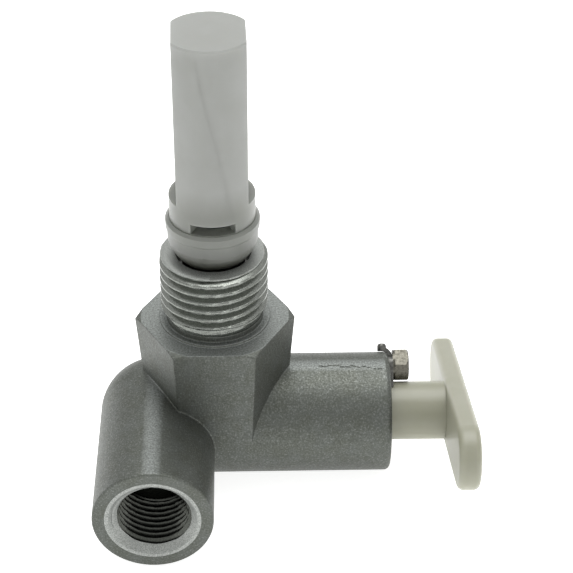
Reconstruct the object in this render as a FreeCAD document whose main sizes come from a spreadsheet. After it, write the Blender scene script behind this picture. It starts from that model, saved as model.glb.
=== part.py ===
import FreeCAD, Part
import os
import Sketcher

# Fuel shut-off valve: a die-cast elbow body with a spanner hexagon and a male inlet stem on
# top, a female outlet boss towards -Y, and a barrel towards +X that holds a turning plug
# with a T-handle. A moulded strainer stands in the inlet. Millimetres, +Z up along the
# inlet, origin at the centre of the hexagon's top face.

V = FreeCAD.Vector
UP = V(0, 0, 1)
ALONG = V(1, 0, 0)
ALONG_X = FreeCAD.Rotation(V(0, 1, 0), 90)
ALONG_FRONT = FreeCAD.Rotation(V(1, 0, 0), 90)
UPRIGHT = FreeCAD.Rotation()
PAST = 2.0   # how far a cutting tool runs past the face that it opens

# Name, value in millimetres or degrees, what it is
SIZES = (
    ("inlet_rise", 15.8, "hexagon's top face above the barrel's axis"),
    ("hex_flats", 17.46, "across the flats of the hexagon at its top, for an 11/16 in spanner"),
    ("hex_sink", 0.1, "how far the hexagon's foot lies inside the barrel's side"),
    ("hex_drop", 0.6, "hexagon's foot below the barrel's axis"),
    ("hex_crown", 9.3, "radius of the turned chamfer at the hexagon's top"),
    ("hex_crown_slope", 30.0, "slope of that chamfer"),
    ("inlet_radius", 6.7, "crest radius of the male inlet thread"),
    ("inlet_height", 9.7, "top of the inlet stem above the hexagon"),
    ("inlet_chamfer", 0.35, "chamfer of the inlet stem's lip"),
    ("neck_radius", 6.1, "run-out neck under the inlet thread"),
    ("neck_height", 1.0, "height of the run-out neck"),
    ("foot_ring_radius", 6.95, "raised ring round the foot of the inlet stem"),
    ("foot_ring_height", 0.2, "height of that ring"),
    ("barrel_root", 4.4, "barrel's round side beyond the inlet's axis"),
    ("barrel_end", 22.35, "barrel's open end from the inlet's axis"),
    ("barrel_rim", 0.7, "rounding of the barrel's end"),
    ("boss_offset", 7.68, "outlet's axis from the inlet's axis"),
    ("boss_radius", 7.42, "outside of the outlet boss and the elbow"),
    ("boss_reach", 20.7, "outlet's face from the barrel's axis"),
    ("boss_chamfer", 0.15, "chamfer of the outlet's outer edge"),
    ("elbow_blend", 0.02, "how far the elbow's ball stands proud of the boss"),
    ("mouth_radius", 4.7, "wide mouth of the inlet bore"),
    ("mouth_depth", 1.6, "depth of the wide mouth"),
    ("seat_radius", 3.9, "bore that holds the strainer's spigot"),
    ("seat_depth", 13.7, "strainer's seat below the stem's top"),
    ("passage_radius", 2.0, "fuel passages"),
    ("plug_bore_radius", 4.4, "bore of the barrel"),
    ("plug_bore_floor", 5.2, "floor of the barrel's bore beyond the inlet's axis"),
    ("outlet_radius", 4.3, "bore of the female outlet thread"),
    ("outlet_depth", 10.0, "depth of the outlet thread's bore"),
    ("outlet_flare", 5.47, "outlet's countersink at its face"),
    ("outlet_flare_depth", 1.1, "depth of the outlet's countersink"),
    ("screw_bearing", 38.0, "retaining screw's place round the barrel, from +Z towards +Y"),
    ("screw_head_play", 0.15, "gap between the screw's head and the spindle"),
    ("screw_edge", 1.75, "barrel's side beyond the screw's axis"),
    ("screw_radius", 0.85, "retaining screw's shank"),
    ("screw_tip_radius", 0.5, "screw's blunt tip"),
    ("screw_length", 5.0, "shank below the plate"),
    ("screw_flats", 4.0, "across the flats of the screw's head"),
    ("screw_head", 2.1, "height of the screw's head with its washer face"),
    ("screw_face", 0.3, "thickness of the washer face under the screw's head"),
    ("screw_bevel", 0.4, "bevel of the head's corners"),
    ("screw_play", 0.02, "gap round the screw's shank"),
    ("screw_hole_spare", 0.5, "screw hole beyond the screw's tip"),
    ("plate_thickness", 0.6, "retaining plate"),
    ("plate_width", 4.8, "retaining plate across the screw"),
    ("plate_play", 0.1, "gap between the plate and the spindle"),
    ("plate_corner", 0.9, "rounding of the plate's outer corners"),
    ("strap_width", 1.3, "strap that the plate turns over the barrel's rim"),
    ("strap_play", 0.05, "gap between the strap and the rim"),
    ("nib_radius", 0.6, "nib at the strap's end"),
    ("nib_height", 1.1, "nib above the barrel"),
    ("nib_round", 0.42, "rounding of the nib's top"),
    ("finger_width", 1.6, "stop finger of the plate"),
    ("finger_reach", 1.2, "stop finger into the bore"),
    ("finger_play", 0.05, "gap between the stop finger and the bore"),
    ("plug_shoulder", 0.6, "plug's shoulder round the spindle"),
    ("plug_play", 0.05, "running gap round the plug"),
    ("plug_end_play", 0.2, "gap at the plug's inner end"),
    ("plug_chamfer", 0.3, "chamfer of the plug's inner end"),
    ("shoulder_play", 0.1, "plug's shoulder below the barrel's end"),
    ("stop_play", 0.2, "gap behind the stop finger"),
    ("stop_spare", 2.0, "angle left at each stop"),
    ("port_radius", 1.7, "port and axial bore of the plug"),
    ("port_tip", 1.8, "axial bore beyond the port's axis"),
    ("port_point", 1.0, "drill point at the axial bore's end"),
    ("handle_gap", 7.3, "handle's bar from the barrel's end"),
    ("bar_thickness", 2.8, "handle's bar along the barrel"),
    ("bar_length", 37.4, "handle's bar from tip to tip"),
    ("bar_width", 8.4, "handle's bar across"),
    ("bar_corner", 3.9, "rounding of the bar's tips"),
    ("bar_edge", 0.8, "rounding of the bar's edges"),
    ("handle_angle", -16.0, "how far the bar is turned about the barrel from level"),
    ("turn_to_open", 74.0, "turn from here to the open stop"),
    ("turn_to_shut", 16.0, "turn from here to the shut stop"),
    ("ring_section", 1.6, "side of the square section of the plug's rings"),
    ("ring_play", 0.03, "gap between a ring and the bore"),
    ("ring_floor_play", 0.02, "gap between a ring and its groove's floor"),
    ("ring_side_play", 0.15, "gap beside a ring in its groove"),
    ("inner_ring_place", -3.5, "inner ring along the barrel from the inlet's axis"),
    ("outer_ring_place", 5.0, "outer ring along the barrel from the inlet's axis"),
    ("spigot_play", 0.03, "gap round the strainer's spigot"),
    ("spigot_bore", 2.9, "bore of the strainer's spigot"),
    ("cage_bore", 3.6, "bore of the strainer's tube"),
    ("bowl_foot", 9.3, "where the strainer's bowl leaves the spigot"),
    ("bowl_low_radius", 4.5, "bowl near its foot"),
    ("bowl_low", 9.9, "height of that point"),
    ("bowl_mid_radius", 5.0, "bowl at its belly"),
    ("bowl_mid", 10.7, "height of that point"),
    ("bowl_high_radius", 5.35, "bowl near its top"),
    ("bowl_high", 11.4, "height of that point"),
    ("skirt_radius", 5.56, "band between the bowl and the bead"),
    ("skirt_low", 12.1, "lower edge of that band"),
    ("bead_radius", 5.76, "bead round the strainer"),
    ("bead_low", 13.5, "lower edge of the bead"),
    ("bead_high", 15.1, "upper edge of the bead"),
    ("bead_bevel", 0.35, "bevel of the bead's edges"),
    ("tube_radius", 5.24, "strainer's collar and the round faces of its tube"),
    ("tube_top", 39.6, "strainer's closed end"),
    ("tube_edge", 0.2, "bevel of the closed end"),
    ("tube_roof", 1.2, "thickness of the closed end"),
    ("flat_half", 4.3, "strainer's two flat sides from its axis"),
    ("flat_foot", 18.1, "where the flat sides start"),
    ("strainer_turn", 1.5, "how far the strainer is turned about the inlet's axis"),
    ("window_width", 4.2, "window in each flat side"),
    ("window_low", 19.8, "window's lower edge"),
    ("window_high", 37.4, "window's upper edge"),
    ("screen_depth", 0.15, "screen below the flat side"),
    ("screen_thickness", 0.3, "screen in each window"),
    ("screen_border", 0.3, "plain border of a screen"),
    ("mesh_hole", 0.45, "side of a screen's openings"),
    ("mesh_across", 5, "openings across a screen"),
    ("mesh_along", 20, "openings along a screen"),
    ("slot_low", 15.2, "lower edge of the slot in the collar"),
    ("slot_high", 16.45, "upper edge of the slot in the collar"),
    ("slot_sweep", 62.0, "angle that each slot of the collar spans"),
)

# Sizes that follow from the ones above
DERIVED = (
    ("spindle_radius", "plug_bore_radius - plug_shoulder", "handle's spindle"),
    ("screw_circle", "spindle_radius + screw_head_play + screw_flats / 2",
     "retaining screw from the barrel's axis"),
    ("barrel_radius", "screw_circle + screw_edge", "outside of the barrel"),
    ("screw_top", "barrel_end + plate_thickness", "seat of the screw's head"),
)


def make_sizes(doc):
    """The spreadsheet of driving dimensions."""
    sheet = doc.addObject("Spreadsheet::Sheet", "sizes")
    for row, (alias, value, meaning) in enumerate(SIZES + DERIVED, start=1):
        sheet.set(f"A{row}", alias)
        sheet.setAlias(f"B{row}", alias)
        sheet.set(f"B{row}", f"={value}")
        sheet.set(f"C{row}", meaning)
    doc.recompute()
    return sheet


def bind(obj, **expressions):
    """Tie properties to the sheet; Base_x and the like stand for the placement's parts."""
    for name, expression in expressions.items():
        path = "Placement." + name.replace("_", ".") if name.startswith("Base_") else name
        obj.setExpression(path, expression)
    return obj


def primitive(doc, kind, name, rotation=UPRIGHT, **expressions):
    obj = doc.addObject("Part::" + kind, name)
    obj.Placement = FreeCAD.Placement(V(), rotation)
    return bind(obj, **expressions)


def rounded(doc, kind, name, base, radius, chosen):
    """A Part::Fillet or Part::Chamfer of those edges of a shape that chosen() picks."""
    doc.recompute()
    obj = doc.addObject("Part::" + kind, name)
    obj.Base = base
    picks = [i for i, edge in enumerate(base.Shape.Edges, start=1) if chosen(edge)]
    obj.Edges = [(i, radius, radius) for i in picks]
    return obj


def new_body(doc, label):
    body = doc.addObject("PartDesign::Body", label)
    body.Label = label
    return body


def new_sketch(body, name, role, offset=None, turn=None):
    """A sketch on one of the body's origin planes, moved along or turned by expressions."""
    sketch = body.newObject("Sketcher::SketchObject", name)
    plane = next(item for item in body.Origin.OriginFeatures if item.Role == role)
    sketch.AttachmentSupport = [(plane, "")]
    sketch.MapMode = "FlatFace"
    if offset:
        sketch.setExpression("AttachmentOffset.Base.z", offset)
    if turn:
        angle = sketch.evalExpression(turn)
        sketch.AttachmentOffset = FreeCAD.Placement(V(), FreeCAD.Rotation(V(1, 0, 0), angle))
    return sketch


def outline(sketch, corners):
    """A closed line of straight edges; each corner is a pair of expressions."""
    points = [V(sketch.evalExpression(u), sketch.evalExpression(v)) for u, v in corners]
    first = sketch.GeometryCount
    count = len(points)
    for i in range(count):
        sketch.addGeometry(Part.LineSegment(points[i], points[(i + 1) % count]), False)
    for i in range(count):
        here, after = first + i, first + (i + 1) % count
        sketch.addConstraint(Sketcher.Constraint("Coincident", here, 2, after, 1))
    for i, corner in enumerate(corners):
        for kind, expression, value in zip(("DistanceX", "DistanceY"), corner, points[i]):
            index = sketch.addConstraint(
                Sketcher.Constraint(kind, -1, 1, first + i, 1, value))
            sketch.setExpression(f"Constraints[{index}]", expression)
    return sketch


def rectangle(sketch, low_u, high_u, low_v, high_v):
    return outline(sketch, [(low_u, low_v), (high_u, low_v), (high_u, high_v), (low_u, high_v)])


def circle(sketch, radius, u="0", v="0"):
    centre = V(sketch.evalExpression(u), sketch.evalExpression(v))
    index = sketch.addGeometry(Part.Circle(centre, V(0, 0, 1), sketch.evalExpression(radius)), False)
    for kind, expression, value in zip(("DistanceX", "DistanceY"), (u, v), centre):
        place = sketch.addConstraint(Sketcher.Constraint(kind, -1, 1, index, 3, value))
        sketch.setExpression(f"Constraints[{place}]", expression)
    size = sketch.addConstraint(
        Sketcher.Constraint("Radius", index, sketch.evalExpression(radius)))
    sketch.setExpression(f"Constraints[{size}]", radius)
    return sketch


def turned(body, kind, name, sketch, axis, sweep=None):
    """A Revolution or Groove of a sketch about one of its own axes."""
    feature = body.newObject("PartDesign::" + kind, name)
    feature.Profile = sketch
    feature.ReferenceAxis = (sketch, [axis])
    feature.Angle = 360
    if sweep:
        feature.Midplane = True
        feature.setExpression("Angle", sweep)
    body.Document.recompute()
    return feature


def pushed(body, kind, name, sketch, length, reverse=False, symmetric=False):
    """A Pad or Pocket of a sketch."""
    feature = body.newObject("PartDesign::" + kind, name)
    feature.Profile = sketch
    feature.setExpression("Length", length)
    feature.Reversed = reverse
    if symmetric:
        feature.SideType = "Symmetric"
    body.Document.recompute()
    return feature


def softened(body, name, radius, chosen):
    """A fillet of those edges of the body so far that chosen() picks."""
    base = body.Tip
    picks = [f"Edge{i}" for i, edge in enumerate(base.Shape.Edges, start=1) if chosen(edge)]
    feature = body.newObject("PartDesign::Fillet", name)
    feature.Base = (base, picks)
    feature.setExpression("Radius", radius)
    body.Document.recompute()
    return feature


def turned_about(body, axis, angle):
    """Turn a finished body about an axis through its origin."""
    body.Placement = FreeCAD.Placement(body.Placement.Base, FreeCAD.Rotation(axis, angle))
    return body


def is_ring(edge, radius, place, axis="z"):
    """Whether an edge is part of a circle of this radius at this place along an axis."""
    if not isinstance(edge.Curve, Part.Circle):
        return False
    centre = getattr(edge.Curve.Center, axis)
    return abs(edge.Curve.Radius - radius) < 1e-4 and abs(centre - place) < 1e-4


def runs_along(edge, axis):
    """Whether an edge is straight and parallel to an axis."""
    if not isinstance(edge.Curve, Part.Line):
        return False
    return abs(abs(edge.Curve.Direction.dot(axis)) - 1) < 1e-6


def make_valve_body(doc, sheet):
    """The casting: elbow, hexagon, inlet stem and barrel, with all its bores."""
    top = primitive(doc, "RegularPolygon", "hexagon_top", Circumradius="sizes.hex_flats / sqrt(3)")
    foot = primitive(doc, "RegularPolygon", "hexagon_foot",
                     Circumradius="2 * (sizes.barrel_radius - sizes.hex_sink) / sqrt(3)",
                     Base_z="-sizes.inlet_rise - sizes.hex_drop")
    hexagon = doc.addObject("Part::Loft", "hexagon")
    hexagon.Sections = [foot, top]
    hexagon.Solid = True
    hexagon.Ruled = True
    height = "(sizes.inlet_rise + sizes.hex_drop)"
    cone = primitive(doc, "Cone", "hexagon_chamfer", Height=height, Base_z=f"-{height}",
                     Radius2="sizes.hex_crown",
                     Radius1=f"sizes.hex_crown + {height} / tan(sizes.hex_crown_slope)")
    crowned = doc.addObject("Part::Common", "hexagon_crowned")
    crowned.Base = hexagon
    crowned.Tool = cone

    neck = primitive(doc, "Cylinder", "inlet_neck", Radius="sizes.neck_radius",
                     Height="sizes.inlet_height / 2", Base_z="-sizes.neck_height")
    ring = primitive(doc, "Cylinder", "foot_ring", Radius="sizes.foot_ring_radius",
                     Height="sizes.neck_height + sizes.foot_ring_height",
                     Base_z="-sizes.neck_height")
    stem = primitive(doc, "Cylinder", "inlet_stem", Radius="sizes.inlet_radius",
                     Height="sizes.inlet_height - sizes.neck_height", Base_z="sizes.neck_height")
    stem = rounded(doc, "Chamfer", "inlet_lip", stem, sheet.inlet_chamfer,
                   lambda edge: is_ring(edge, sheet.inlet_radius, sheet.inlet_height))

    barrel = primitive(doc, "Cylinder", "barrel", ALONG_X, Radius="sizes.barrel_radius",
                       Height="sizes.barrel_end + sizes.barrel_root",
                       Base_x="-sizes.barrel_root", Base_z="-sizes.inlet_rise")
    barrel = rounded(doc, "Fillet", "barrel_edge", barrel, sheet.barrel_rim,
                     lambda edge: is_ring(edge, sheet.barrel_radius, sheet.barrel_end, "x"))
    taper = primitive(doc, "Cone", "elbow_neck", ALONG_X, Radius1="sizes.boss_radius",
                      Radius2="sizes.barrel_radius",
                      Height="sizes.boss_offset - sizes.barrel_root",
                      Base_x="-sizes.boss_offset", Base_z="-sizes.inlet_rise")
    ball = primitive(doc, "Sphere", "elbow_ball", Radius="sizes.boss_radius + sizes.elbow_blend",
                     Base_x="-sizes.boss_offset", Base_z="-sizes.inlet_rise")
    boss = primitive(doc, "Cylinder", "outlet_boss", ALONG_FRONT, Radius="sizes.boss_radius",
                     Height="sizes.boss_reach", Base_x="-sizes.boss_offset",
                     Base_z="-sizes.inlet_rise")
    boss = rounded(doc, "Chamfer", "outlet_edge", boss, sheet.boss_chamfer,
                   lambda edge: is_ring(edge, sheet.boss_radius, -sheet.boss_reach, "y"))
    outside = doc.addObject("Part::MultiFuse", "casting_outside")
    outside.Shapes = [crowned, neck, ring, stem, barrel, taper, ball, boss]

    mouth = primitive(doc, "Cylinder", "inlet_mouth", Radius="sizes.mouth_radius",
                      Height=f"sizes.mouth_depth + {PAST}",
                      Base_z="sizes.inlet_height - sizes.mouth_depth")
    seat = primitive(doc, "Cylinder", "strainer_seat", Radius="sizes.seat_radius",
                     Height=f"sizes.seat_depth + {PAST}",
                     Base_z="sizes.inlet_height - sizes.seat_depth")
    down = primitive(doc, "Cylinder", "inlet_passage", Radius="sizes.passage_radius",
                     Height=f"sizes.inlet_rise + sizes.inlet_height - sizes.seat_depth + {PAST}",
                     Base_z="-sizes.inlet_rise")
    bore = primitive(doc, "Cylinder", "plug_bore", ALONG_X, Radius="sizes.plug_bore_radius",
                     Height=f"sizes.plug_bore_floor + sizes.barrel_end + {PAST}",
                     Base_x="-sizes.plug_bore_floor", Base_z="-sizes.inlet_rise")
    across = primitive(doc, "Cylinder", "transfer_passage", ALONG_X,
                       Radius="sizes.passage_radius", Height="sizes.boss_offset",
                       Base_x="-sizes.boss_offset", Base_z="-sizes.inlet_rise")
    forward = primitive(doc, "Cylinder", "outlet_passage", ALONG_FRONT,
                        Radius="sizes.passage_radius", Height="sizes.boss_reach",
                        Base_x="-sizes.boss_offset", Base_z="-sizes.inlet_rise")
    forward.setExpression("Placement.Base.y", "sizes.passage_radius")
    outlet = primitive(doc, "Cylinder", "outlet_bore", ALONG_FRONT, Radius="sizes.outlet_radius",
                       Height=f"sizes.outlet_depth + {PAST}", Base_x="-sizes.boss_offset",
                       Base_y="sizes.outlet_depth - sizes.boss_reach",
                       Base_z="-sizes.inlet_rise")
    slope = "(sizes.outlet_flare - sizes.outlet_radius) / sizes.outlet_flare_depth"
    flare = primitive(doc, "Cone", "outlet_flare_cut", ALONG_FRONT, Radius1="sizes.outlet_radius",
                      Radius2=f"sizes.outlet_flare + {slope} * {PAST}",
                      Height=f"sizes.outlet_flare_depth + {PAST}",
                      Base_x="-sizes.boss_offset",
                      Base_y="sizes.outlet_flare_depth - sizes.boss_reach",
                      Base_z="-sizes.inlet_rise")
    screw_hole = primitive(doc, "Cylinder", "screw_hole", ALONG_X,
                           Radius="sizes.screw_radius + sizes.screw_play",
                           Height=f"sizes.screw_length + sizes.screw_hole_spare + {PAST}",
                           Base_x="sizes.barrel_end - sizes.screw_length - sizes.screw_hole_spare",
                           Base_y="sizes.screw_circle * sin(sizes.screw_bearing)",
                           Base_z="sizes.screw_circle * cos(sizes.screw_bearing) - sizes.inlet_rise")
    inside = doc.addObject("Part::MultiFuse", "casting_inside")
    inside.Shapes = [mouth, seat, down, bore, across, forward, outlet, flare, screw_hole]

    body = doc.addObject("Part::Cut", "valve_body")
    body.Base = outside
    body.Tool = inside
    body.Refine = True
    return body


def make_strainer(doc, sheet):
    """The moulded strainer: spigot, bowl, bead, collar and a closed tube with two flat sides."""
    body = new_body(doc, "strainer")
    foot = "sizes.inlet_height - sizes.seat_depth"
    spigot = "sizes.seat_radius - sizes.spigot_play"
    profile = new_sketch(body, "strainer_profile", "XZ_Plane")
    outline(profile, [
        ("sizes.spigot_bore", foot),
        (spigot, foot),
        (spigot, "sizes.bowl_foot"),
        ("sizes.bowl_low_radius", "sizes.bowl_low"),
        ("sizes.bowl_mid_radius", "sizes.bowl_mid"),
        ("sizes.bowl_high_radius", "sizes.bowl_high"),
        ("sizes.skirt_radius", "sizes.skirt_low"),
        ("sizes.skirt_radius", "sizes.bead_low"),
        ("sizes.bead_radius", "sizes.bead_low + sizes.bead_bevel"),
        ("sizes.bead_radius", "sizes.bead_high - sizes.bead_bevel"),
        ("sizes.bead_radius - sizes.bead_bevel", "sizes.bead_high"),
        ("sizes.tube_radius", "sizes.bead_high"),
        ("sizes.tube_radius", "sizes.tube_top - sizes.tube_edge"),
        ("sizes.tube_radius - sizes.tube_edge", "sizes.tube_top"),
        ("0", "sizes.tube_top"),
        ("0", "sizes.tube_top - sizes.tube_roof"),
        ("sizes.cage_bore", "sizes.tube_top - sizes.tube_roof"),
        ("sizes.cage_bore", "sizes.skirt_low"),
        ("sizes.spigot_bore", "sizes.bowl_mid"),
    ])
    turned(body, "Revolution", "strainer_turned", profile, "V_Axis")

    side = new_sketch(body, "flat_side", "XZ_Plane")
    rectangle(side, "sizes.flat_half", f"sizes.tube_radius + {PAST}",
              "sizes.flat_foot", f"sizes.tube_top + {PAST}")
    cut = pushed(body, "Pocket", "flat_cut", side, "4 * sizes.tube_radius", symmetric=True)
    mirror = body.newObject("PartDesign::Mirrored", "flat_cut_other")
    mirror.Originals = [cut]
    plane = next(item for item in body.Origin.OriginFeatures if item.Role == "YZ_Plane")
    mirror.MirrorPlane = (plane, [""])
    body.Tip = mirror
    doc.recompute()

    window = new_sketch(body, "window", "YZ_Plane")
    rectangle(window, "-sizes.window_width / 2", "sizes.window_width / 2",
              "sizes.window_low", "sizes.window_high")
    pushed(body, "Pocket", "window_cut", window, "4 * sizes.tube_radius", symmetric=True)

    slot = new_sketch(body, "collar_slot", "YZ_Plane")
    inside, outside = f"sizes.cage_bore - {PAST}", f"sizes.tube_radius + {PAST}"
    rectangle(slot, inside, outside, "sizes.slot_low", "sizes.slot_high")
    rectangle(slot, f"-({outside})", f"-({inside})", "sizes.slot_low", "sizes.slot_high")
    turned(body, "Groove", "collar_slot_cut", slot, "V_Axis", sweep="sizes.slot_sweep")
    return turned_about(body, UP, sheet.strainer_turn)


def make_screen(doc, sheet, label, side):
    """A plate of fine mesh that fills the window of one flat side."""
    body = new_body(doc, label)
    outer = "sizes.flat_half - sizes.screen_depth"
    inner = f"{outer} - sizes.screen_thickness"
    place = inner if side > 0 else f"-({outer})"
    plate = new_sketch(body, label + "_plate", "YZ_Plane", offset=place)
    rectangle(plate, "-sizes.window_width / 2", "sizes.window_width / 2",
              "sizes.window_low", "sizes.window_high")
    pushed(body, "Pad", label + "_pad", plate, "sizes.screen_thickness")

    span = "(sizes.window_width - 2 * sizes.screen_border - sizes.mesh_hole)"
    rise = "(sizes.window_high - sizes.window_low - 2 * sizes.screen_border - sizes.mesh_hole)"
    left = "-sizes.window_width / 2 + sizes.screen_border"
    low = "sizes.window_low + sizes.screen_border"
    hole = new_sketch(body, label + "_opening", "YZ_Plane", offset=place)
    rectangle(hole, left, f"{left} + sizes.mesh_hole", low, f"{low} + sizes.mesh_hole")
    cut = pushed(body, "Pocket", label + "_cut", hole, "2 * sizes.screen_thickness",
                 reverse=True)
    mesh = body.newObject("PartDesign::LinearPattern", label + "_mesh")
    mesh.Originals = [cut]
    mesh.Direction = (hole, ["H_Axis"])
    mesh.setExpression("Length", span)
    mesh.setExpression("Occurrences", "sizes.mesh_across")
    mesh.Direction2 = (hole, ["V_Axis"])
    mesh.setExpression("Length2", rise)
    mesh.setExpression("Occurrences2", "sizes.mesh_along")
    body.Tip = mesh
    doc.recompute()
    return turned_about(body, UP, sheet.strainer_turn)


def make_handle(doc, sheet):
    """The T-handle, its spindle and the ported plug, moulded in one piece."""
    body = new_body(doc, "handle")
    plug = "sizes.plug_bore_radius - sizes.plug_play"
    inner = "sizes.plug_end_play - sizes.plug_bore_floor"
    shoulder = "sizes.barrel_end - sizes.shoulder_play"
    groove_floor = ("sizes.plug_bore_radius - sizes.ring_play - sizes.ring_section"
                    " - sizes.ring_floor_play")
    half_groove = "sizes.ring_section / 2 + sizes.ring_side_play"
    bar_face = "sizes.barrel_end + sizes.handle_gap"
    corners = [
        (inner, "sizes.port_radius"),
        (inner, f"{plug} - sizes.plug_chamfer"),
        (f"{inner} + sizes.plug_chamfer", plug),
    ]
    for place in ("sizes.inner_ring_place", "sizes.outer_ring_place"):
        corners += [
            (f"{place} - ({half_groove})", plug),
            (f"{place} - ({half_groove})", groove_floor),
            (f"{place} + {half_groove}", groove_floor),
            (f"{place} + {half_groove}", plug),
        ]
    corners += [
        (shoulder, plug),
        (shoulder, "sizes.spindle_radius"),
        (f"{bar_face} + sizes.bar_thickness / 2", "sizes.spindle_radius"),
        (f"{bar_face} + sizes.bar_thickness / 2", "0"),
        ("sizes.port_tip + sizes.port_point", "0"),
        ("sizes.port_tip", "sizes.port_radius"),
    ]
    profile = new_sketch(body, "plug_profile", "XZ_Plane")
    outline(profile, corners)
    turned(body, "Revolution", "plug_turned", profile, "H_Axis")

    port = new_sketch(body, "port", "XZ_Plane")
    circle(port, "sizes.port_radius")
    pushed(body, "Pocket", "port_cut", port, f"sizes.plug_bore_radius + {PAST}", reverse=True)

    relief = new_sketch(body, "stop_relief", "XZ_Plane",
                        turn="(sizes.turn_to_open - sizes.turn_to_shut) / 2"
                             " - sizes.screw_bearing - sizes.handle_angle")
    rectangle(relief, "sizes.barrel_end - sizes.finger_reach - sizes.stop_play",
              "sizes.barrel_end", "sizes.spindle_radius", f"sizes.plug_bore_radius + {PAST}")
    turned(body, "Groove", "stop_relief_cut", relief, "H_Axis",
           sweep="sizes.turn_to_open + sizes.turn_to_shut + 2 * sizes.stop_spare"
                 " + 2 * asin(sizes.finger_width / 2 / sizes.spindle_radius) / 1 deg")

    bar = new_sketch(body, "bar", "YZ_Plane", offset=bar_face)
    rectangle(bar, "-sizes.bar_length / 2", "sizes.bar_length / 2",
              "-sizes.bar_width / 2", "sizes.bar_width / 2")
    pushed(body, "Pad", "bar_pad", bar, "sizes.bar_thickness")
    half = sheet.bar_length / 2
    softened(body, "bar_tips", "sizes.bar_corner",
             lambda edge: runs_along(edge, ALONG)
             and abs(abs(edge.Vertexes[0].Point.y) - half) < 1e-6)
    faces = [sheet.barrel_end + sheet.handle_gap + share * sheet.bar_thickness for share in (0, 1)]
    softened(body, "bar_edges", "sizes.bar_edge",
             lambda edge: any(all(abs(v.Point.x - x) < 1e-6 for v in edge.Vertexes) for x in faces)
             and not is_ring(edge, sheet.spindle_radius, faces[0], "x"))
    return bind(turned_about(body, ALONG, sheet.handle_angle), Base_z="-sizes.inlet_rise")


def make_ring(doc, label, place):
    """A square-cut rubber ring in one of the plug's grooves."""
    body = new_body(doc, label)
    section = new_sketch(body, label + "_section", "XZ_Plane")
    outer = "sizes.plug_bore_radius - sizes.ring_play"
    rectangle(section, f"{place} - sizes.ring_section / 2", f"{place} + sizes.ring_section / 2",
              f"{outer} - sizes.ring_section", outer)
    turned(body, "Revolution", label + "_turned", section, "H_Axis")
    return bind(body, Base_z="-sizes.inlet_rise")


def make_plate(doc, sheet):
    """The plate that laps the plug's shoulder, with its strap over the rim and its stop."""
    body = new_body(doc, "retaining_plate")
    outer = "sizes.barrel_radius - sizes.barrel_rim"
    hub = "sizes.spindle_radius + sizes.plate_play"
    plate = new_sketch(body, "plate_outline", "YZ_Plane", offset="sizes.barrel_end")
    rectangle(plate, "-sizes.plate_width / 2", "sizes.plate_width / 2", "0", outer)
    pushed(body, "Pad", "plate_pad", plate, "sizes.plate_thickness")
    softened(body, "plate_corners", "sizes.plate_corner",
             lambda edge: runs_along(edge, ALONG)
             and abs(edge.Vertexes[0].Point.z - (sheet.barrel_radius - sheet.barrel_rim)) < 1e-6)

    strap = new_sketch(body, "strap_section", "XY_Plane", offset=outer)
    outline(strap, [
        ("sizes.barrel_end + sizes.strap_play", "-sizes.strap_width / 2"),
        ("sizes.barrel_end + sizes.plate_thickness", "-sizes.strap_width / 2"),
        ("sizes.barrel_end + sizes.plate_thickness", "sizes.strap_width / 2"),
        ("sizes.barrel_end + sizes.strap_play", "sizes.strap_width / 2"),
    ])
    hinge = strap.addGeometry(Part.LineSegment(V(sheet.barrel_end - sheet.barrel_rim, -1),
                                               V(sheet.barrel_end - sheet.barrel_rim, 1)), True)
    for vertex, along in ((1, -1), (2, 1)):
        index = strap.addConstraint(
            Sketcher.Constraint("DistanceX", -1, 1, hinge, vertex,
                                sheet.barrel_end - sheet.barrel_rim))
        strap.setExpression(f"Constraints[{index}]", "sizes.barrel_end - sizes.barrel_rim")
        strap.addConstraint(Sketcher.Constraint("DistanceY", -1, 1, hinge, vertex, along))
    bend = body.newObject("PartDesign::Revolution", "strap_bend")
    bend.Profile = strap
    bend.ReferenceAxis = (strap, ["Axis0"])
    bend.Angle = 90
    doc.recompute()
    if bend.Shape.BoundBox.ZMax < sheet.barrel_radius:
        bend.Reversed = True
        doc.recompute()

    nib = body.newObject("PartDesign::AdditiveCylinder", "nib")
    nib.AttachmentSupport = [(next(item for item in body.Origin.OriginFeatures
                                   if item.Role == "XY_Plane"), "")]
    nib.MapMode = "FlatFace"
    bind(nib, Radius="sizes.nib_radius", Height="sizes.nib_height - sizes.strap_play")
    nib.setExpression("AttachmentOffset.Base.x", "sizes.barrel_end - sizes.barrel_rim")
    nib.setExpression("AttachmentOffset.Base.z", "sizes.barrel_radius + sizes.strap_play")
    doc.recompute()
    top = sheet.barrel_radius + sheet.nib_height
    softened(body, "nib_rounding", "sizes.nib_round",
             lambda edge: is_ring(edge, sheet.nib_radius, top))

    hub_hole = new_sketch(body, "hub_hole", "YZ_Plane", offset=f"sizes.barrel_end + {PAST}")
    circle(hub_hole, hub)
    pushed(body, "Pocket", "hub_cut", hub_hole, f"2 * {PAST}")

    finger = new_sketch(body, "finger_section", "YZ_Plane", offset="sizes.barrel_end")
    rectangle(finger, "-sizes.finger_width / 2", "sizes.finger_width / 2", hub,
              "sqrt(pow(sizes.plug_bore_radius - sizes.finger_play; 2)"
              " - pow(sizes.finger_width / 2; 2))")
    pushed(body, "Pad", "finger_pad", finger, "sizes.finger_reach", reverse=True)

    screw_hole = new_sketch(body, "plate_screw_hole", "YZ_Plane", offset=f"sizes.barrel_end + {PAST}")
    circle(screw_hole, "sizes.screw_radius + sizes.screw_play", v="sizes.screw_circle")
    pushed(body, "Pocket", "plate_screw_cut", screw_hole, f"2 * {PAST}")
    return bind(turned_about(body, ALONG, -sheet.screw_bearing), Base_z="-sizes.inlet_rise")


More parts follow.
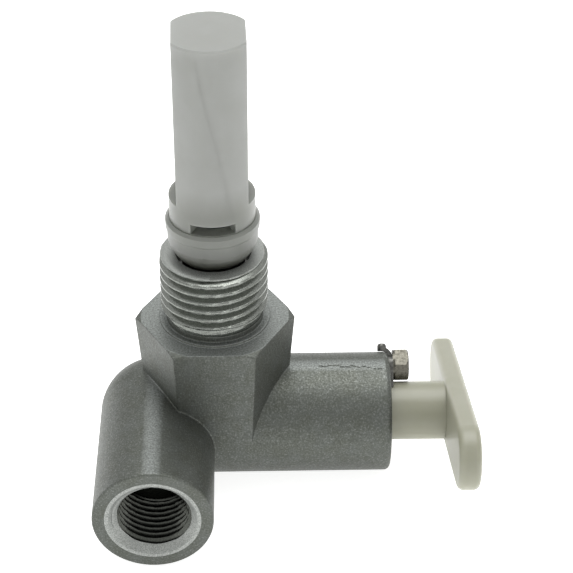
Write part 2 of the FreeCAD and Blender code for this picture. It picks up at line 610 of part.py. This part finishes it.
def make_screw(doc, sheet):
    """The small hexagon screw that holds the plate; a flat of its head faces the spindle."""
    body = new_body(doc, "retaining_screw")
    shank = new_sketch(body, "screw_profile", "XZ_Plane")
    seat = "sizes.screw_top"
    crown = f"{seat} + sizes.screw_head"
    rim = "sizes.screw_flats / sqrt(3)"
    tip = "sizes.barrel_end - sizes.screw_length"
    outline(shank, [
        (tip, "0"),
        (tip, "sizes.screw_tip_radius"),
        (f"{tip} + sizes.screw_radius", "sizes.screw_radius"),
        (seat, "sizes.screw_radius"),
        (seat, "sizes.screw_flats / 2"),
        (f"{seat} + sizes.screw_face", "sizes.screw_flats / 2"),
        (f"{seat} + sizes.screw_face", rim),
        (f"{crown} - sizes.screw_bevel", rim),
        (crown, f"{rim} - sizes.screw_bevel"),
        (crown, "0"),
    ])
    turned(body, "Revolution", "screw_turned", shank, "H_Axis")
    flats = new_sketch(body, "screw_flats_sketch", "YZ_Plane", offset=f"{seat} + sizes.screw_face")
    circle(flats, "sizes.screw_flats")
    angles = [60 * i for i in range(6)]
    outline(flats, [(f"{rim} * cos({a})", f"{rim} * sin({a})") for a in angles])
    pushed(body, "Pocket", "screw_flats_cut", flats, "sizes.screw_head", reverse=True)
    return bind(turned_about(body, ALONG, -sheet.screw_bearing),
                Base_y="sizes.screw_circle * sin(sizes.screw_bearing)",
                Base_z="sizes.screw_circle * cos(sizes.screw_bearing) - sizes.inlet_rise")


def check(doc, parts):
    """Stop if an object failed or a sub-part isn't one sound solid."""
    for obj in doc.Objects:
        if "Invalid" in obj.State or "Error" in obj.State:
            raise RuntimeError(f"{obj.Name} failed: {obj.State} {obj.getStatusString()}")
    for part in parts:
        shape = part.Shape
        if shape.isNull() or not shape.isValid() or len(shape.Solids) != 1:
            raise RuntimeError(f"{part.Label} isn't one sound solid")


def main():
    doc = FreeCAD.newDocument("fuel_shut_off_valve")
    sheet = make_sizes(doc)
    parts = [
        make_valve_body(doc, sheet),
        make_strainer(doc, sheet),
        make_screen(doc, sheet, "strainer_screen_left", -1),
        make_screen(doc, sheet, "strainer_screen_right", 1),
        make_handle(doc, sheet),
        make_ring(doc, "plug_ring_inner", "sizes.inner_ring_place"),
        make_ring(doc, "plug_ring_outer", "sizes.outer_ring_place"),
        make_plate(doc, sheet),
        make_screw(doc, sheet),
    ]
    doc.recompute()
    check(doc, parts)
    os.makedirs("parts", exist_ok=True)
    for part in parts:
        part.Shape.exportStep(f"parts/{part.Label}.step")
        print(part.Label, round(part.Shape.Volume, 2), "mm3")


main()
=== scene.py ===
"""Looks of the fuel shut-off valve: threads, cast grain, nylon, lights and camera."""

import math

import bmesh
import bpy
import numpy as np
from mathutils import Matrix, Vector

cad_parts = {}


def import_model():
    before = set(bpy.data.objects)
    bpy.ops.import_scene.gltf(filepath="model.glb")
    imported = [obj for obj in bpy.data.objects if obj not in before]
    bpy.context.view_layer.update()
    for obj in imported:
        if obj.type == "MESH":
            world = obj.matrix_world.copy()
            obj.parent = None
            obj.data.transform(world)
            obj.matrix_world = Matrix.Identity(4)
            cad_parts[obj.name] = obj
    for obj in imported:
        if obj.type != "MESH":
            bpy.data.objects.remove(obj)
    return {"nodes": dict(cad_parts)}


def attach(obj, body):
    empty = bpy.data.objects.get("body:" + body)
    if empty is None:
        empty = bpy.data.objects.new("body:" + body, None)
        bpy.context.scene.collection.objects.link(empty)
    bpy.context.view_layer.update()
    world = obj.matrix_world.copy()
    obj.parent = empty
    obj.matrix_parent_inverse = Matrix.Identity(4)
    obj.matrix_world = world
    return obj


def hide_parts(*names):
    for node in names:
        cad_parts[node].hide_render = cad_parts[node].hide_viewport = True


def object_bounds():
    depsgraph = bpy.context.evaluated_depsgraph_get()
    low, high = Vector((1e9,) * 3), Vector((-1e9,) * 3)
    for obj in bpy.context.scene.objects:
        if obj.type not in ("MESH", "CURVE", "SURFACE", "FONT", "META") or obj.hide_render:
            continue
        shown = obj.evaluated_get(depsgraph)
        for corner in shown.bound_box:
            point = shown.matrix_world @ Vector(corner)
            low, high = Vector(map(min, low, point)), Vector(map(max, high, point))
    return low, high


MM = 0.001
# Sizes of the casting in mm, as in the source
AXIS_Z = -15.8          # the barrel's axis
OUTLET_X = -7.68        # the outlet's axis
OUTLET_Y = -20.7        # the outlet's face
NECK_TOP = 1.0          # the run-out neck under the inlet's thread
LIP_TOP = 9.7           # the inlet's top
NECK_R = 6.1            # the neck
INLET_R = 6.7           # crests of the inlet's thread
FOOT_RING_R = 6.95      # the ring round the inlet's foot
MOUTH_R = 4.7           # the inlet's wide mouth
SEAT_R = 3.9            # the strainer's seat
PASSAGE_R = 2.0         # the fuel passages
BARREL_R = 7.7          # the barrel's outside
PLUG_BORE_R = 4.4       # the barrel's bore
BOSS_R = 7.42           # the outlet's boss
ELBOW_R = 7.44          # the elbow's ball
OUTLET_R = 4.3          # crests of the outlet's thread
FLARE_R = 5.47          # the outlet's countersink at its face
FLARE_DEPTH = 1.1       # depth of that countersink
# Where the threads' own pieces meet the plain casting, in mm
STEM_CORE = 5.6         # radius inside which the inlet's stem stays plain
OUTLET_CORE = 5.9       # radius outside which the outlet's boss stays plain
OUTLET_DEEP = 9.2       # how far the outlet's thread piece reaches in from the face
ROW_STEP = 0.06         # height of a row of faces in a thread
# Centre, axis (none for a ball) and radius of the casting's round faces
ON_INLET = (0, 0, 0)
ON_BARREL = (0, 0, AXIS_Z)
ON_OUTLET = (OUTLET_X, 0, AXIS_Z)
ROUNDS = (
    (ON_BARREL, 0, BARREL_R), (ON_BARREL, 0, PLUG_BORE_R),
    (ON_OUTLET, 1, BOSS_R), (ON_OUTLET, None, ELBOW_R),
    (ON_OUTLET, 1, OUTLET_R), (ON_OUTLET, 1, PASSAGE_R),
    (ON_INLET, 2, NECK_R), (ON_INLET, 2, FOOT_RING_R), (ON_INLET, 2, MOUTH_R),
    (ON_INLET, 2, SEAT_R), (ON_INLET, 2, PASSAGE_R),
)
FLAT_AREA = 6.0         # faces of one direction are a flat where they cover more mm2
CROWN_NORMAL = (0.5, 0.866)   # outward and upward parts of the hexagon's turned crown
CROWN_INNER = 8.6       # the crown lies outside this radius
# The camera of the photograph's view: radians, and mm in the row frame
CAMERA_YAW, CAMERA_PITCH, CAMERA_ROLL = -0.027, 0.610, 0.004
CAMERA_PLACE = (4.03, -183.81, 132.71)
CAMERA_LENS = 113.19
CAMERA_SENSOR = 36
# The lamp and what it points at, in metres and watts
LAMP_PLACE, LAMP_TARGET = (0.02, 0.13, 0.49), (0.005, 0, 0)
LAMP_SIZE, LAMP_POWER = 0.50, 2.3
WORLD_ON_OBJECT, WORLD_SEEN = 0.6, 1.0
FLOOR_SIZE, FLOOR_GLOW = 4, 0.8


def srgb(r, g, b):
    """A linear colour from 0 to 255 display values."""
    def linear(v):
        v /= 255
        return v / 12.92 if v <= 0.04045 else ((v + 0.055) / 1.055) ** 2.4
    return (linear(r), linear(g), linear(b), 1.0)


class Shader:
    """A small helper that adds nodes to a material and links them."""

    def __init__(self, name):
        self.material = bpy.data.materials.new(name)
        self.material.use_nodes = True
        self.nodes = self.material.node_tree.nodes
        self.links = self.material.node_tree.links
        self.bsdf = self.nodes["Principled BSDF"]
        self.place = self.add("ShaderNodeTexCoord").outputs["Object"]

    def add(self, kind, **values):
        node = self.nodes.new(kind)
        for key, value in values.items():
            if key in node.inputs:
                node.inputs[key].default_value = value
            else:
                setattr(node, key, value)
        return node

    def link(self, source, target):
        self.links.new(source, target)

    def noise(self, size, detail=3.0, rough=0.55):
        """Noise whose features are about so many millimetres large."""
        node = self.add("ShaderNodeTexNoise", Scale=1 / (size * MM), Detail=detail, Roughness=rough)
        self.link(self.place, node.inputs["Vector"])
        return node.outputs["Fac"]

    def ramp(self, source, *stops):
        node = self.add("ShaderNodeValToRGB")
        while len(node.color_ramp.elements) < len(stops):
            node.color_ramp.elements.new(0.5)
        for element, (position, colour) in zip(node.color_ramp.elements, stops):
            element.position = position
            element.color = colour if hasattr(colour, "__len__") else (colour, colour, colour, 1)
        self.link(source, node.inputs["Fac"])
        return node.outputs["Color"]

    def mix(self, factor, a, b, mode="MIX"):
        node = self.add("ShaderNodeMix", data_type="RGBA", blend_type=mode)
        for socket, value in ((node.inputs[0], factor), (node.inputs[6], a), (node.inputs[7], b)):
            if hasattr(value, "links"):
                self.link(value, socket)
            else:
                socket.default_value = value
        return node.outputs[2]

    def facing_up(self, low, high):
        """From 0 to 1 as the surface turns to face up."""
        geometry = self.add("ShaderNodeNewGeometry")
        parts = self.add("ShaderNodeSeparateXYZ")
        self.link(geometry.outputs["Normal"], parts.inputs[0])
        node = self.add("ShaderNodeMapRange")
        node.inputs["From Min"].default_value = low
        node.inputs["From Max"].default_value = high
        self.link(parts.outputs["Z"], node.inputs["Value"])
        return node.outputs["Result"]

    def bump(self, height, distance, strength=1.0, below=None):
        node = self.add("ShaderNodeBump", Distance=distance * MM, Strength=strength)
        self.link(height, node.inputs["Height"])
        if below is not None:
            self.link(below, node.inputs["Normal"])
        return node.outputs["Normal"]

    def set(self, **values):
        for key, value in values.items():
            socket = self.bsdf.inputs[key.replace("_", " ")]
            if hasattr(value, "links"):
                self.link(value, socket)
            else:
                socket.default_value = value
        return self.material


def casting_material():
    """Die-cast alloy: grey, finely pitted, with softened edges, and painted lighter on faces that
    look straight up.
    """
    s = Shader("die_cast_alloy")
    grain = s.noise(0.22, 2.0, 0.6)
    patches = s.noise(2.4, 3.0)
    base = s.ramp(grain, (0.30, srgb(74, 77, 72)), (0.55, srgb(90, 93, 88)),
                  (0.74, srgb(124, 127, 124)))
    tint = s.ramp(patches, (0.35, srgb(82, 84, 75)), (0.65, srgb(98, 101, 98)))
    # Painted light: faces that look straight up get a lighter grey, for the light that falls on
    # them from above.
    colour = s.mix(s.facing_up(0.985, 0.999), s.mix(0.35, base, tint),
                   s.ramp(grain, (0.3, srgb(96, 99, 96)), (0.7, srgb(140, 144, 141))))
    rough = s.ramp(grain, (0.3, 0.58), (0.75, 0.42))
    soft = s.add("ShaderNodeBevel", samples=6, Radius=0.3 * MM).outputs["Normal"]
    lumps = s.bump(s.noise(0.5, 2.0), 0.05, 0.5, below=soft)
    return s.set(Base_Color=colour, Metallic=0.82, Roughness=rough,
                 Normal=s.bump(grain, 0.02, 0.7, below=lumps))


def machined_material(name, low, high, metallic=0.95, rough=0.24, burrs=0.006):
    """The same alloy where a tool has cut it: smoother."""
    s = Shader(name)
    grain = s.noise(0.12, 2.0, 0.6)
    base = s.ramp(grain, (0.35, low), (0.70, high))
    return s.set(Base_Color=base, Metallic=metallic, Roughness=rough,
                 Normal=s.bump(s.noise(0.25, 2.0), burrs, 0.6))


def nylon_material(name, colour, deep, clear):
    """Natural nylon, milky and slightly see-through."""
    s = Shader(name)
    cloud = s.noise(3.0, 2.0)
    base = s.ramp(cloud, (0.3, deep), (0.7, colour))
    return s, base, dict(Roughness=0.36, Transmission_Weight=clear, IOR=1.53,
                         Subsurface_Weight=0.6, Subsurface_Scale=0.002,
                         Subsurface_Radius=(1, 1, 1),
                         Normal=s.bump(s.noise(0.7, 2.0), 0.008, 0.5))


def strainer_material():
    """Nylon with painted shade: darker downwards, most at the bowl's foot in the metal's mouth."""
    s, base, looks = nylon_material("natural_nylon", srgb(181, 183, 179),
                                    srgb(176, 178, 173), 0.45)
    # Painted shade: from 21 mm down to the bowl's foot the nylon's colour is multiplied ever
    # darker.
    bowl_foot, painted_shade_top = 9.0 * MM, 21.0 * MM
    place = s.add("ShaderNodeSeparateXYZ")
    s.link(s.place, place.inputs[0])
    height = s.add("ShaderNodeMapRange")
    height.inputs["From Min"].default_value = bowl_foot
    height.inputs["From Max"].default_value = painted_shade_top
    s.link(place.outputs["Z"], height.inputs["Value"])
    shade = s.ramp(height.outputs["Result"], (0.0, srgb(64, 64, 58)), (0.07, srgb(84, 84, 76)),
                   (0.14, srgb(120, 121, 114)), (0.22, srgb(164, 165, 160)),
                   (0.38, srgb(204, 206, 202)), (0.72, srgb(216, 217, 212)),
                   (1.0, srgb(255, 255, 255)))
    return s.set(Base_Color=s.mix(1.0, base, shade, mode="MULTIPLY"), **looks)


def handle_material():
    """The same kind of moulding, off-white and hardly see-through."""
    s, base, looks = nylon_material("handle_nylon", srgb(158, 158, 141),
                                    srgb(153, 153, 134), 0.12)
    return s.set(Base_Color=base, **looks)


def mesh_material():
    s = Shader("woven_nylon_mesh")
    cloud = s.noise(0.3, 2.0)
    return s.set(Base_Color=s.ramp(cloud, (0.3, srgb(150, 152, 148)), (0.7, srgb(172, 174, 170))),
                 Roughness=0.45, Transmission_Weight=0.2)


def rubber_material():
    s = Shader("nitrile_rubber")
    cloud = s.noise(0.4, 2.0)
    return s.set(Base_Color=s.ramp(cloud, (0.3, srgb(26, 26, 27)), (0.7, srgb(40, 40, 41))),
                 Roughness=0.6, Normal=s.bump(cloud, 0.01, 0.5))


def steel_material(name, low, high, rough):
    s = Shader(name)
    cloud = s.noise(0.35, 3.0)
    return s.set(Base_Color=s.ramp(cloud, (0.3, low), (0.7, high)), Metallic=1.0,
                 Roughness=s.ramp(cloud, (0.3, rough), (0.7, rough + 0.12)),
                 Normal=s.bump(cloud, 0.01, 0.4))


def dress(node, material):
    """Give a source solid one material."""
    node.data.materials.clear()
    node.data.materials.append(material)
    for polygon in node.data.polygons:
        polygon.material_index = 0


def smooth_noise(rows, columns, cells_up, cells_round, seed):
    """A grid of smooth noise from -1 to 1 that closes on itself round its columns."""
    values = np.random.default_rng(seed).uniform(-1, 1, (cells_up + 1, cells_round))
    up = np.linspace(0, cells_up - 1e-6, rows)
    around = np.arange(columns) * cells_round / columns
    i, j = up.astype(int), around.astype(int)
    s, t = up - i, around - j
    s, t = (s * s * (3 - 2 * s))[:, None], (t * t * (3 - 2 * t))[None, :]
    k = (j + 1) % cells_round
    low = values[i][:, j] * (1 - t) + values[i][:, k] * t
    high = values[i + 1][:, j] * (1 - t) + values[i + 1][:, k] * t
    return low * (1 - s) + high * s


def groove(phase, crest_flat, root_flat):
    """Depth from 0 at the crest to 1 at the root of a V thread, for a phase in turns."""
    away = np.abs((phase + 0.5) % 1 - 0.5) * 2
    return np.clip((away - crest_flat) / (1 - crest_flat - root_flat), 0, 1)


def sleeve(name, heights, radii, core):
    """A closed ring of metal about Z between a wavy face and a plain cylinder, in mm."""
    rows, columns = radii.shape
    angles = np.arange(columns) * 2 * math.pi / columns
    corners = []
    for ring, z in zip(radii, heights):
        corners += [(r * math.cos(a), r * math.sin(a), z) for r, a in zip(ring, angles)]
    for z in (heights[-1], heights[0]):
        corners += [(core * math.cos(a), core * math.sin(a), z) for a in angles]
    faces = []
    for i in range(rows + 2):
        low, high = i * columns, (i + 1) % (rows + 2) * columns
        for j in range(columns):
            k = (j + 1) % columns
            faces.append((low + j, low + k, high + k, high + j))
    mesh = bpy.data.meshes.new(name)
    mesh.from_pydata([Vector(corner) * MM for corner in corners], [], faces)
    bm = bmesh.new()
    bm.from_mesh(mesh)
    bmesh.ops.recalc_face_normals(bm, faces=bm.faces)
    bm.to_mesh(mesh)
    bm.free()
    mesh.shade_smooth()
    mesh.set_sharp_from_angle(angle=math.radians(50))
    obj = bpy.data.objects.new(name, mesh)
    bpy.context.scene.collection.objects.link(obj)
    return obj


def male_thread():
    """The inlet's thread: full from its second turn up, with a battered lip."""
    columns = 168
    pitch, start_at, start_turn = 1.24, 2.5, 0.25
    root, crest_flat, root_flat = 5.98, 0.20, 0.14
    fade_from, fade_over, fade_sway = 1.25, 0.95, 0.35
    dent, lip_dent, lip_from, lip_over = 0.03, 0.09, 8.9, 0.5
    last_root, bevel_from, bevel_slope = 6.22, 9.42, 1.2

    heights = np.append(np.arange(NECK_TOP, LIP_TOP, ROW_STEP), LIP_TOP)
    z = heights[:, None]
    turns = (np.arange(columns) / columns)[None, :]
    phase = (z - start_at) / pitch - (turns + start_turn)
    sway = fade_sway * np.sin(2 * math.pi * turns)
    grow = np.clip((z - fade_from + sway) / fade_over, 0, 1)
    crest = NECK_R + (INLET_R - NECK_R) * grow * grow * (3 - 2 * grow)
    radii = crest - (crest - root) * groove(phase, crest_flat, root_flat)
    dents = smooth_noise(len(heights), columns, 40, 46, 5)
    lip = np.clip((z - lip_from) / lip_over, 0, 1)
    radii -= dent * np.clip(dents, 0, 1) + lip_dent * lip * np.clip(dents - 0.1, 0, 1)
    radii = np.maximum(radii, last_root * lip)
    radii = np.minimum(radii, INLET_R - np.clip(z - bevel_from, 0, 1) * bevel_slope)
    return sleeve("male_thread", heights, radii, STEM_CORE)


def female_thread():
    """The outlet's thread with its countersink, about Z from the face inwards."""
    columns = 144
    pitch, depth, crest_flat, root_flat = 0.94, 0.72, 0.08, 0.12
    fade_end, fade_over = 9.0, 0.8

    heights = np.append(np.arange(0, OUTLET_DEEP, ROW_STEP), OUTLET_DEEP)
    z = heights[:, None]
    phase = z / pitch - np.arange(columns)[None, :] / columns
    fade = np.clip((fade_end - z) / fade_over, 0, 1)
    radii = OUTLET_R + depth * fade * (1 - groove(phase, crest_flat, root_flat))
    radii = np.maximum(radii, FLARE_R - z * (FLARE_R - OUTLET_R) / FLARE_DEPTH)
    return sleeve("female_thread", heights, radii, OUTLET_CORE)


def tube(name, inner, outer, low, high):
    """A cutting tool about Z: a pipe, or a plain cylinder where inner is nothing, in mm."""
    bm = bmesh.new()
    count = 120
    rings = []
    for r, z in ((outer, low), (outer, high), (inner, high), (inner, low)):
        if r:
            rings.append([bm.verts.new(Vector((r * math.cos(2 * math.pi * k / count),
                                               r * math.sin(2 * math.pi * k / count), z)) * MM)
                          for k in range(count)])
    pairs = list(zip(rings, rings[1:] + rings[:1])) if inner else [(rings[0], rings[1])]
    for a, b in pairs:
        for k in range(count):
            n = (k + 1) % count
            bm.faces.new((a[k], a[n], b[n], b[k]))
    if not inner:
        bm.faces.new(rings[0][::-1])
        bm.faces.new(rings[1])
    bmesh.ops.recalc_face_normals(bm, faces=bm.faces)
    mesh = bpy.data.meshes.new(name)
    bm.to_mesh(mesh)
    bm.free()
    obj = bpy.data.objects.new(name, mesh)
    bpy.context.scene.collection.objects.link(obj)
    return obj


def scars():
    """A tool for the casting's few marks: nicks along the barrel and a dent on the elbow."""
    bm = bmesh.new()
    draws = np.random.default_rng(11)
    nick_from, nick_depth = 13.4, 0.12
    # Centre and half sizes in mm, and turn about Z
    marks = [((-10.0, -4.4, -10.22), (0.62, 0.5, 0.16), 0.5),
             ((-9.5, -4.9, -10.35), (0.3, 0.6, 0.14), 1.0)]
    for x in np.concatenate([np.linspace(nick_from, 15.8, 7), np.linspace(16.2, 21.0, 8)]):
        y = -0.1 - (x - nick_from) * 0.1 + draws.uniform(-0.25, 0.25)
        size = draws.uniform(0.12, 0.30)
        marks.append(((x, y, AXIS_Z + math.sqrt(BARREL_R ** 2 - y * y)),
                      (size * 1.7, size * 0.6, nick_depth), draws.uniform(-0.3, 0.3)))
    for place, size, turn in marks:
        matrix = (Matrix.Translation(Vector(place) * MM) @ Matrix.Rotation(turn, 4, "Z")
                  @ Matrix.Diagonal(Vector((*size, 1 / MM)) * MM))
        bmesh.ops.create_icosphere(bm, subdivisions=2, radius=1.0, matrix=matrix)
    mesh = bpy.data.meshes.new("scars")
    bm.to_mesh(mesh)
    bm.free()
    obj = bpy.data.objects.new("scars", mesh)
    bpy.context.scene.collection.objects.link(obj)
    return obj


def carve(piece, cutter, crossing=False):
    """Cut a tool out of a piece; crossing says that the tool's own shells overlap."""
    modifier = piece.modifiers.new("carve", "BOOLEAN")
    modifier.operation = "DIFFERENCE"
    modifier.solver = "EXACT"
    modifier.use_self = crossing
    modifier.object = cutter
    bpy.context.view_layer.update()
    graph = bpy.context.evaluated_depsgraph_get()
    result = bpy.data.meshes.new_from_object(piece.evaluated_get(graph))
    piece.modifiers.clear()
    piece.data = result
    bpy.data.objects.remove(cutter)
    return piece


def copy_of(node, name):
    """A copy of a source solid's mesh, with its corners joined so that it can be cut."""
    piece = bpy.data.objects.new(name, node.data.copy())
    bpy.context.scene.collection.objects.link(piece)
    bm = bmesh.new()
    bm.from_mesh(piece.data)
    bmesh.ops.remove_doubles(bm, verts=bm.verts, dist=1e-7)
    bm.to_mesh(piece.data)
    bm.free()
    return piece


def values_of(items, name, width=1, kind=np.float32):
    """An attribute of a mesh's vertices, corners or faces as an array."""
    values = np.empty(len(items) * width, dtype=kind)
    items.foreach_get(name, values)
    return values.reshape(-1, width) if width > 1 else values


def round_normals(mesh):
    """Exact normals for the faces on the casting's cylinders, ball, crown and flats."""
    mesh.shade_smooth()
    mesh.set_sharp_from_angle(angle=math.radians(24))
    normals = values_of(mesh.corner_normals, "vector", 3)
    corners = values_of(mesh.loops, "vertex_index", kind=np.int32)
    places = values_of(mesh.vertices, "co", 3)[corners] / MM
    totals = values_of(mesh.polygons, "loop_total", kind=np.int32)
    areas = values_of(mesh.polygons, "area") / MM ** 2
    owner = np.repeat(np.arange(len(totals)), totals)
    face = values_of(mesh.polygons, "normal", 3)[owner]

    flats, which = np.unique(np.round(face, 2) + 0.0, axis=0, return_inverse=True)
    which = which.ravel()
    first = np.concatenate([[0], np.cumsum(totals)[:-1]])
    extent = np.bincount(which[first], weights=areas, minlength=len(flats))
    plain = (extent > FLAT_AREA)[which]
    normals[plain] = face[plain]

    reach = np.hypot(places[:, 0], places[:, 1])
    outward, upward = CROWN_NORMAL
    crown = np.column_stack([places[:, 0] * outward, places[:, 1] * outward, upward * reach])
    crown = crown / np.maximum(reach, 1e-6)[:, None]
    near = (((crown * face).sum(axis=1) > 0.985) & (reach > CROWN_INNER)
            & (places[:, 2] < 0.05))
    normals[near] = crown[near]

    for centre, along, radius in ROUNDS:
        arm = places - np.array(centre)
        if along is not None:
            arm[:, along] = 0
        length = np.linalg.norm(arm, axis=1)
        ray = arm / np.maximum(length, 1e-6)[:, None]
        side = (ray * face).sum(axis=1)
        fits = (np.abs(length - radius) < 0.02) & (np.abs(side) > 0.9)
        whole = np.ones(len(totals), dtype=bool)
        np.logical_and.at(whole, owner, fits)
        chosen = whole[owner]
        normals[chosen] = (ray * np.sign(side)[:, None])[chosen]
    mesh.normals_split_custom_set([tuple(map(float, n)) for n in normals])


def make_body(node, casting, machined, shaded_bore, worn):
    """The casting with its two threads, machined where a tool has been, with painted shade inside
    the bores.
    """
    piece = copy_of(node, "threaded_body")
    carve(piece, tube("stem_tool", STEM_CORE, 9.0, NECK_TOP, LIP_TOP + 1))
    outlet = (Matrix.Translation(Vector((OUTLET_X, OUTLET_Y, AXIS_Z)) * MM)
              @ Matrix.Rotation(math.radians(-90), 4, "X"))
    cutter = tube("outlet_tool", 0, OUTLET_CORE, -1.0, OUTLET_DEEP)
    cutter.data.transform(outlet)
    carve(piece, cutter)
    carve(piece, scars(), crossing=True)
    round_normals(piece.data)

    looks = (casting, machined, shaded_bore, worn)
    piece.data.materials.clear()
    for material in looks:
        piece.data.materials.append(material)
    inside, stem_reach, barrel_floor = 5.0, 7.0, -6.0
    for polygon in piece.data.polygons:
        x, y, z = polygon.center / MM
        in_barrel = math.hypot(y, z - AXIS_Z) < inside and x > barrel_floor
        in_outlet = math.hypot(x - OUTLET_X, z - AXIS_Z) < inside
        if z > LIP_TOP - 0.1:
            look = worn
        elif z > NECK_TOP - 0.1 and math.hypot(x, y) < stem_reach:
            look = machined
        # Faces inside the barrel's and the outlet's bores get the darker alloy with painted shade.
        elif in_barrel or in_outlet:
            look = shaded_bore
        else:
            look = casting
        polygon.material_index = looks.index(look)

    threads = []
    for part, place, look, is_worn in (
            (male_thread(), Matrix(), machined, lambda z: z > LIP_TOP - 0.15),
            (female_thread(), outlet, shaded_bore, lambda z: z < FLARE_DEPTH - 0.05)):
        part.data.materials.append(look)
        part.data.materials.append(worn)
        for polygon in part.data.polygons:
            polygon.material_index = int(is_worn(polygon.center.z / MM))
        part.data.transform(place)
        threads.append(part)
    return piece, threads


def add_camera():
    """The camera of the photograph's view."""
    forward = Vector((-math.sin(CAMERA_YAW) * math.cos(CAMERA_PITCH),
                      math.cos(CAMERA_YAW) * math.cos(CAMERA_PITCH), -math.sin(CAMERA_PITCH)))
    right = Vector((math.cos(CAMERA_YAW), math.sin(CAMERA_YAW), 0))
    up = right.cross(forward)
    c, s = math.cos(CAMERA_ROLL), math.sin(CAMERA_ROLL)
    x = c * right + s * up
    y = c * up - s * right
    data = bpy.data.cameras.new("camera")
    data.sensor_width = CAMERA_SENSOR
    data.lens = CAMERA_LENS
    data.clip_start = 0.01
    data.clip_end = 20
    camera = bpy.data.objects.new("camera", data)
    rotation = Matrix((x, y, -forward)).transposed().to_4x4()
    camera.matrix_world = Matrix.Translation(Vector(CAMERA_PLACE) * MM) @ rotation
    bpy.context.scene.collection.objects.link(camera)
    bpy.context.scene.camera = camera


def add_lamp():
    """One large soft lamp, behind and above."""
    data = bpy.data.lights.new("overhead", "AREA")
    data.shape = "DISK"
    data.size = LAMP_SIZE
    data.energy = LAMP_POWER
    lamp = bpy.data.objects.new("overhead", data)
    lamp.location = LAMP_PLACE
    direction = Vector(LAMP_TARGET) - Vector(LAMP_PLACE)
    lamp.rotation_euler = direction.to_track_quat("-Z", "Y").to_euler()
    bpy.context.scene.collection.objects.link(lamp)


def add_surroundings(low):
    """A soft white world, white where it is seen, and a plain floor at a height."""
    world = bpy.data.worlds.new("studio")
    bpy.context.scene.world = world
    world.use_nodes = True
    nodes, links = world.node_tree.nodes, world.node_tree.links
    background = nodes["Background"]
    background.inputs["Color"].default_value = (1, 1, 1, 1)
    path = nodes.new("ShaderNodeLightPath")
    total = path.outputs["Is Camera Ray"]
    for name in ("Is Glossy Ray", "Is Transmission Ray"):
        add = nodes.new("ShaderNodeMath")
        add.operation = "MAXIMUM"
        links.new(total, add.inputs[0])
        links.new(path.outputs[name], add.inputs[1])
        total = add.outputs[0]
    level = nodes.new("ShaderNodeMapRange")
    level.inputs["To Min"].default_value = WORLD_ON_OBJECT
    level.inputs["To Max"].default_value = WORLD_SEEN
    links.new(total, level.inputs["Value"])
    links.new(level.outputs["Result"], background.inputs["Strength"])

    bpy.ops.mesh.primitive_plane_add(size=FLOOR_SIZE, location=(0, 0, low))
    floor = bpy.context.object
    floor.name = "floor"
    s = Shader("floor_white")
    s.set(Base_Color=(0.9, 0.9, 0.9, 1), Roughness=0.9, Specular_IOR_Level=0.0,
          Emission_Color=(1, 1, 1, 1), Emission_Strength=FLOOR_GLOW)
    floor.data.materials.append(s.material)


def main():
    """Dress the frame's solids, add the threaded casting, and light and film them."""
    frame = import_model()
    cad_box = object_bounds()
    nodes = frame["nodes"]

    casting = casting_material()
    machined = machined_material("machined_alloy", srgb(100, 103, 98), srgb(140, 143, 138))
    # Painted shade: a darker copy of the machined alloy for the bores and the outlet's thread, for
    # the shade inside them.
    shaded_bore = machined_material("bore_alloy_painted_shade", srgb(56, 58, 54), srgb(84, 86, 81))
    worn = machined_material("worn_alloy", srgb(120, 123, 119), srgb(172, 175, 171),
                             0.45, 0.42, 0.05)
    screen = mesh_material()
    rubber = rubber_material()

    body, threads = make_body(nodes["valve_body"], casting, machined, shaded_bore, worn)
    for piece in (body, *threads):
        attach(piece, "valve")
        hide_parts("valve_body")

    dress(nodes["strainer"], strainer_material())
    dress(nodes["handle"], handle_material())
    for name in ("strainer_screen_left", "strainer_screen_right"):
        dress(nodes[name], screen)
    for name in ("plug_ring_inner", "plug_ring_outer"):
        dress(nodes[name], rubber)
    dress(nodes["retaining_plate"], steel_material("plate_steel", srgb(70, 70, 68),
                                                   srgb(110, 110, 106), 0.35))
    dress(nodes["retaining_screw"], steel_material("screw_steel", srgb(62, 61, 55),
                                                   srgb(104, 102, 94), 0.2))

    add_camera()
    add_lamp()
    add_surroundings(cad_box[0][2])
    bpy.context.scene.view_settings.view_transform = "Standard"


main()
